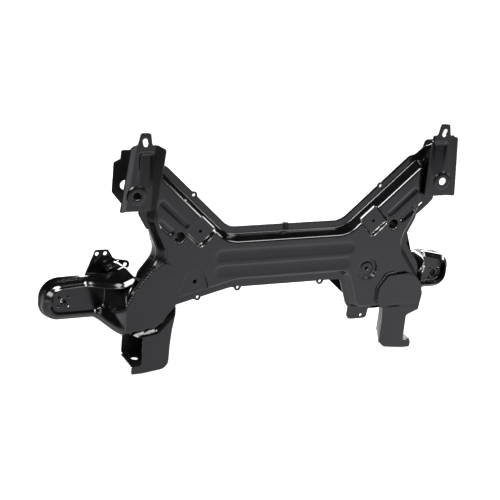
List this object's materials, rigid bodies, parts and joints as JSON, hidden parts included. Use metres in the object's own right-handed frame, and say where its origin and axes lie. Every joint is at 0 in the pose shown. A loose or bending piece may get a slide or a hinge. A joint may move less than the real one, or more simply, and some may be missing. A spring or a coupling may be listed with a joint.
{
  "type": "car front subframe",
  "caption": "Black pressed-steel front subframe: a welded cross member with spread arms, end brackets, dished body mounts and open boxes for the control arm bushes.",
  "frame": {"origin": "midway between the two body mount bolts, in the plane where their collars meet the car body", "axes": "+X to the right mount, +Y from the lower pressing to the upper one and into the car body, +Z to the end brackets, up as the frame stands in the picture"},
  "size_m": [0.971, 0.165, 0.516],
  "materials": {
    "frame_paint": "semi-gloss black dip coat",
    "inner_paint": "satin black dip coat on the inner and rear pieces",
    "clip_coating": "dull black coat on spring steel"
  },
  "bodies": {
    "root": {"front_pan": "frame_paint", "rear_pan": "inner_paint", "left_end_bracket": "frame_paint", "right_end_bracket": "frame_paint", "left_back_plate": "inner_paint", "right_back_plate": "inner_paint", "left_pod_dish": "frame_paint", "right_pod_dish": "frame_paint", "left_pod_collar": "inner_paint", "right_pod_collar": "inner_paint", "left_leg_bracket": "frame_paint", "right_leg_bracket": "frame_paint", "left_leg_channel": "inner_paint", "right_leg_channel": "inner_paint", "left_rack_tube": "inner_paint", "right_rack_tube": "inner_paint", "left_line_bracket": "inner_paint", "right_line_bracket": "inner_paint", "left_arch_stay": "frame_paint", "right_arch_stay": "frame_paint", "lower_stay": "inner_paint", "flange_clip": "clip_coating", "weld_nuts": "inner_paint"}
  },
  "joints": []
}
